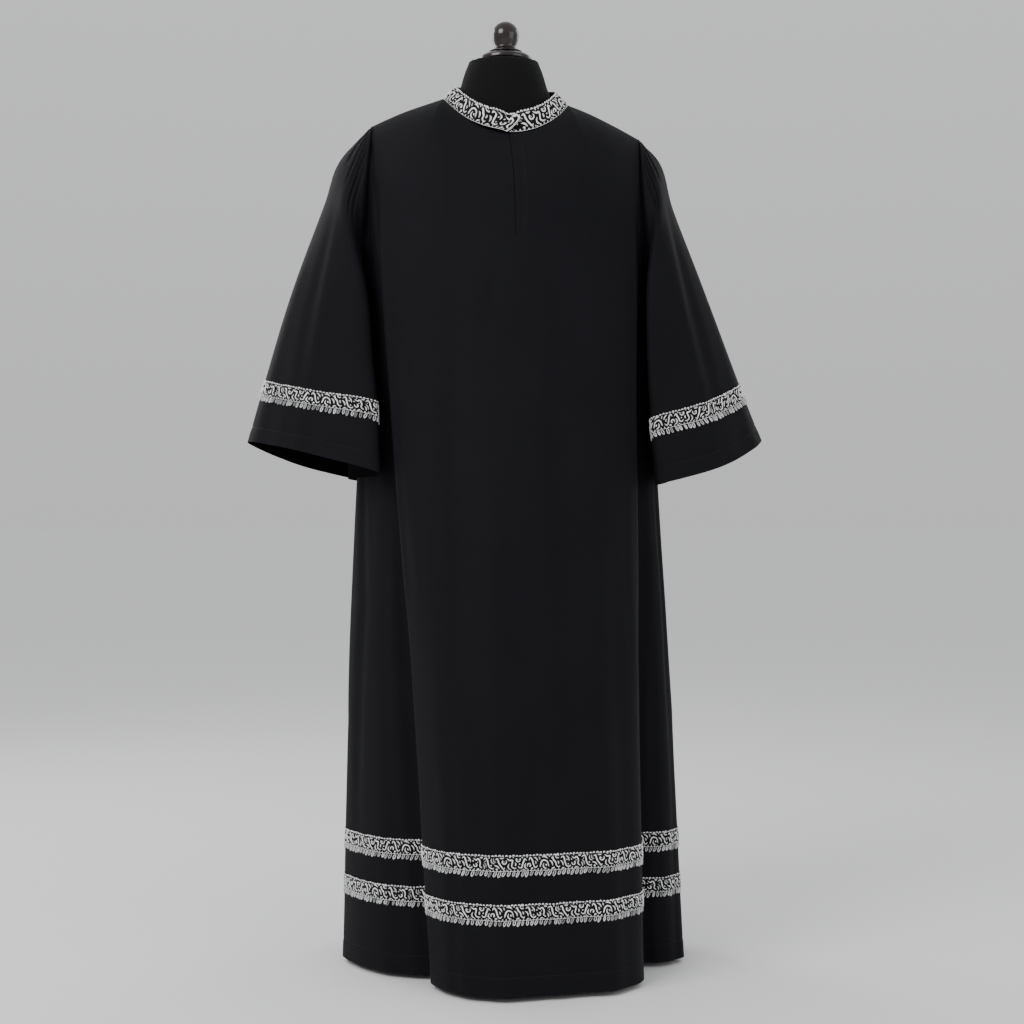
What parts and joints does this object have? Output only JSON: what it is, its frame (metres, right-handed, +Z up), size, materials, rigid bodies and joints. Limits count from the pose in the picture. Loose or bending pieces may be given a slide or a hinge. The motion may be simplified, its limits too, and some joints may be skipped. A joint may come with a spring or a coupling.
{
  "type": "alb on a dress form",
  "caption": "Full-length dark cloth robe with wide bell sleeves, a slit neck and metallic braid at collar, sleeves and hem, on a limbless form with pole and round base.",
  "frame": {"origin": "centre of the round base's underside, on the form's upright axis", "axes": "+Z up, the garment's front faces -Y, and its wearer's left is +X"},
  "size_m": [0.858, 0.4573, 1.568],
  "materials": {
    "cloth": "matte plain weave",
    "galloon": "raised silver-thread embroidery",
    "form_cloth": "fine matte jersey",
    "wood": "dark gloss varnish",
    "metal": "dark satin paint"
  },
  "bodies": {
    "root": {"front_panel": "cloth", "back_panel": "cloth", "sleeve_left": "cloth", "sleeve_right": "cloth", "collar": "cloth", "placket_underlap": "cloth", "collar_trim": "galloon", "sleeve_trim_left": "galloon", "sleeve_trim_right": "galloon", "hem_trim_upper_front": "galloon", "hem_trim_upper_back": "galloon", "hem_trim_lower_front": "galloon", "hem_trim_lower_back": "galloon", "form_torso": "form_cloth", "form_neck_cap": "wood", "form_finial": "wood", "form_hub": "metal", "form_pole": "metal", "form_base": "metal"}
  },
  "joints": []
}
